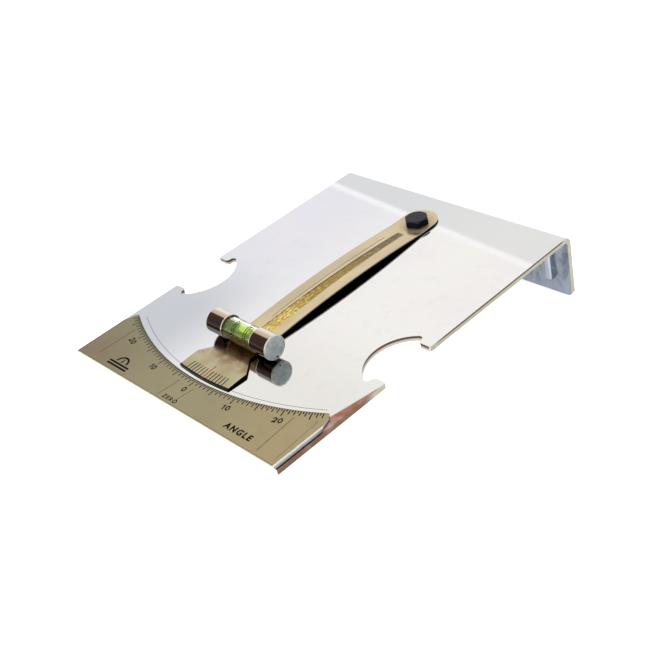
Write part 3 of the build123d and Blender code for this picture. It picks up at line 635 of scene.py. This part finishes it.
def ink(name, colour, worn, *node_names):
    """Enamel in a cut mark, a little uneven where it has worn."""
    s = Shader(name, Metallic=0.0, Specular_IOR_Level=0.02)
    chips = s.noise(s.plate_point(), 1.8, 5.0, 0.7)
    s.set("Base Color", s.mix(s.fade(chips, 0.55, 0.75, 0.0, 0.6), colour, worn))
    s.set("Roughness", s.fade(chips, 0.3, 0.8, 0.3, 0.55))
    s.relief(chips, 0.03, 0.4)
    s.wear(*node_names)
    return s.material


def turned_metal(name, light, dark, roughness, *node_names):
    """Plain turned or stamped metal for the hidden hardware."""
    s = Shader(name, Metallic=1.0)
    rings = s.noise(s.stretch(s.plate_point(), 2.0, 2.0, 6.0), 1.2, 4.0, 0.6)
    s.set("Base Color", s.mix(s.fade(rings, 0.3, 0.7), light, dark))
    s.set("Roughness", s.fade(rings, 0.2, 0.8, roughness, roughness + 0.15))
    s.relief(rings, 0.02, 0.4)
    s.wear(*node_names)


def knob_black():
    """Satin black knob: fine grain, its crown painted greyer as a painted highlight."""
    s = Shader("knob_black", Metallic=0.0, Specular_IOR_Level=0.12)
    point = s.plate_point()
    _, _, nz = s.axes(s.plate_normal())
    grain = s.noise(point, 2.5, 6.0, 0.7)
    smear = s.noise(point, 0.4, 4.0, 0.6)
    black = s.mix(s.fade(smear, 0.35, 0.7), seen(6, 6, 16), seen(16, 16, 28))
    # Painted highlight: upward-facing faces are greyer.
    lit_top = s.times(s.fade(nz, 0.35, 0.8), s.fade(grain, 0.3, 0.65, 0.45, 0.9))
    s.set("Base Color", s.mix(lit_top, black, seen(50, 45, 54)))
    s.set("Roughness", s.fade(smear, 0.2, 0.8, 0.35, 0.55))
    s.relief(s.calc("ADD", grain, smear), 0.06, 0.5)
    s.wear("clamp_knob")


def on_scale(name, x, y, mesh, material):
    """Lays a flat mesh, drawn in metres, on the scale at a place given in the plate's frame."""
    piece = bpy.data.objects.new(name, mesh)
    piece.matrix_world = PLATE @ Matrix.Translation((x * MM, y * MM, SCALE_TOP * MM))
    bpy.context.scene.collection.objects.link(piece)
    mesh.materials.clear()
    mesh.materials.append(material)
    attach(piece, "base")


def printed_word(name, word, x, y, height, spacing, weight, material):
    """One word in plain capitals, printed on the scale and centred on a point."""
    text = bpy.data.curves.new(name, "FONT")
    text.body = word
    text.size = height * MM / CAPITAL_HEIGHT
    text.space_character = spacing
    text.align_x = "CENTER"
    text.align_y = "CENTER"
    text.extrude = PRINT_THICKNESS / 2 * MM
    text.offset = weight * MM
    text.resolution_u = 4
    holder = bpy.data.objects.new(name + "_curve", text)
    bpy.context.scene.collection.objects.link(holder)
    bpy.context.view_layer.update()
    mesh = bpy.data.meshes.new_from_object(holder.evaluated_get(bpy.context.evaluated_depsgraph_get()))
    bpy.data.objects.remove(holder)
    mesh.transform(Matrix.Translation((0, 0, PRINT_THICKNESS / 2 * MM)))
    on_scale(name, x, y, mesh, material)


def half_circle(radius):
    """Points along an upper half circle, from its right end to its left."""
    angles = [math.pi * i / EMBLEM_STEPS for i in range(EMBLEM_STEPS + 1)]
    return [(radius * math.cos(a), radius * math.sin(a)) for a in angles]


def printed_emblem(material):
    """Plain protractor emblem: a half ring with a needle over two bars."""
    inner_radius = EMBLEM_RADIUS - EMBLEM_STROKE
    ring = half_circle(EMBLEM_RADIUS) + half_circle(inner_radius)[::-1]
    half = EMBLEM_STROKE / 2
    tip = 0.8 * inner_radius
    needle = [(-half, 0.0), (half, 0.0), (half / 2, tip), (-half / 2, tip)]
    outlines = [ring, needle]
    left, right = -EMBLEM_HALF_WIDTH, EMBLEM_HALF_WIDTH
    for row in (1, 2):
        top = EMBLEM_STROKE * (1 - EMBLEM_ROW_PITCH * row)
        low = top - EMBLEM_STROKE
        outlines.append([(left, low), (right, low), (right, top), (left, top)])
    vertices, faces = [], []
    for outline in outlines:
        count = len(outline)
        under = range(len(vertices), len(vertices) + count)
        over = range(under.stop, under.stop + count)
        for z in (0, PRINT_THICKNESS):
            vertices += [(px * MM, py * MM, z * MM) for px, py in outline]
        faces += [under[::-1], over]
        faces += [(under[i - 1], under[i], over[i], over[i - 1]) for i in range(count)]
    mesh = bpy.data.meshes.new("emblem")
    mesh.from_pydata(vertices, [], faces)
    on_scale("printed_emblem", EMBLEM_X, EMBLEM_Y, mesh, material)


def stage_floor():
    """Wide pale floor, just under the bottom of the goniometer."""
    mesh = bpy.data.meshes.new("floor")
    work = bmesh.new()
    bmesh.ops.create_grid(work, x_segments=8, y_segments=8, size=FLOOR_SIZE)
    work.to_mesh(mesh)
    work.free()
    floor = bpy.data.objects.new("floor", mesh)
    floor.location = (0, 0, cad_box[0][2] - 0.02 * MM)
    bpy.context.scene.collection.objects.link(floor)
    s = Shader("floor_paper", Metallic=0.0, Specular_IOR_Level=0.1, Emission_Strength=0.75)
    tooth = s.noise(s.add("ShaderNodeTexCoord", "Object"), 180.0, 3.0)
    s.set("Base Color", s.mix(s.fade(tooth, 0.3, 0.7), srgb(247, 247, 246), srgb(250, 250, 249)))
    s.set("Roughness", s.fade(tooth, 0.2, 0.8, 0.85, 0.95))
    s.set("Emission Color", (1.0, 1.0, 1.0, 1.0))
    mesh.materials.append(s.material)


def studio_world():
    """White surround, dimmer towards the horizon and darker to the right, where the room is open."""
    world = bpy.data.worlds.new("studio")
    bpy.context.scene.world = world
    world.use_nodes = True
    tree = world.node_tree
    coords = tree.nodes.new("ShaderNodeTexCoord")
    direction = tree.nodes.new("ShaderNodeSeparateXYZ")
    tree.links.new(coords.outputs["Generated"], direction.inputs[0])

    def blend(value, start, end, far):
        """Mix node that turns to the far colour as the value goes from start to end."""
        step = tree.nodes.new("ShaderNodeMapRange")
        step.interpolation_type = "SMOOTHSTEP"
        step.inputs[1].default_value = start
        step.inputs[2].default_value = end
        tree.links.new(value, step.inputs[0])
        node = tree.nodes.new("ShaderNodeMix")
        node.data_type = "RGBA"
        node.inputs[7].default_value = far
        tree.links.new(step.outputs[0], node.inputs[0])
        return node

    sky = blend(direction.outputs[2], -0.1, 0.55, OVERHEAD)
    sky.inputs[6].default_value = HORIZON
    room = blend(direction.outputs[0], 0.2, 0.6, OPEN_ROOM)
    tree.links.new(sky.outputs[2], room.inputs[6])
    background = tree.nodes["Background"]
    tree.links.new(room.outputs[2], background.inputs[0])
    background.inputs[1].default_value = STUDIO_LIGHT


def level_strip():
    """Long soft strip, above and behind to the left, that lights the vial's glass and nothing else."""
    data = bpy.data.lights.new("level_strip", "AREA")
    data.shape = "RECTANGLE"
    data.size = STRIP_LENGTH
    data.size_y = STRIP_WIDTH
    data.energy = STRIP_POWER
    data.color = (1.0, 0.96, 0.9)
    strip = bpy.data.objects.new("level_strip", data)
    target = PLATE @ (Vector((0, LEVEL_Y, LEVEL_Z)) * MM)
    toward = Vector(STRIP_DIRECTION).normalized()
    strip.location = target + toward * STRIP_DISTANCE
    strip.rotation_euler = (-toward).to_track_quat("-Z", "Y").to_euler()
    bpy.context.scene.collection.objects.link(strip)
    lit = bpy.data.collections.new("lit_by_strip")
    lit.objects.link(nodes["vial_glass"])
    strip.light_linking.receiver_collection = lit


def camera():
    """Camera at the place the photo was taken from."""
    data = bpy.data.cameras.new("camera")
    data.lens = CAMERA_LENS
    data.sensor_width = 36.0
    data.clip_start = 0.01
    view = bpy.data.objects.new("camera", data)
    level = (CAMERA_AIM - CAMERA_PLACE).to_track_quat("-Z", "Y").to_matrix()
    turn = level @ Matrix.Rotation(CAMERA_ROLL, 3, "Z")
    view.matrix_world = Matrix.Translation(CAMERA_PLACE) @ turn.to_4x4()
    bpy.context.scene.collection.objects.link(view)
    bpy.context.scene.camera = view


polished_plate()
rib_metal()
scale_metal()
arm_metal()
saddle_metal()
ferrule_metal()
disc_metal()
plaster()
vial_glass()
vial_liquid()
vial_bubble()
black = ink(
    "black_ink", seen(5, 4, 5), seen(24, 21, 18),
    "scale_graduations", "scale_numerals", "vernier_marks", "vial_marks",
)
ink("red_ink", seen(186, 62, 48), seen(196, 116, 92), "index_line")
printed_word(
    "printed_word_right", "ANGLE", x=38.5, y=4.9, height=2.7, spacing=1.3, weight=0.16, material=black
)
printed_word(
    "printed_word_middle", "ZERO", x=-0.4, y=2.3, height=1.9, spacing=1.35, weight=0.07, material=black
)
printed_emblem(black)
turned_metal("stud_steel", seen(214, 214, 216), seen(180, 180, 184), 0.2, "pivot_stud")
turned_metal("shim_brass", seen(222, 196, 128), seen(190, 158, 96), 0.25, "pivot_shim")
turned_metal("spring_steel", seen(110, 112, 122), seen(74, 76, 88), 0.25, "spring_washer")
knob_black()
stage_floor()
studio_world()
level_strip()
camera()

bpy.context.scene.view_settings.view_transform = "Standard"
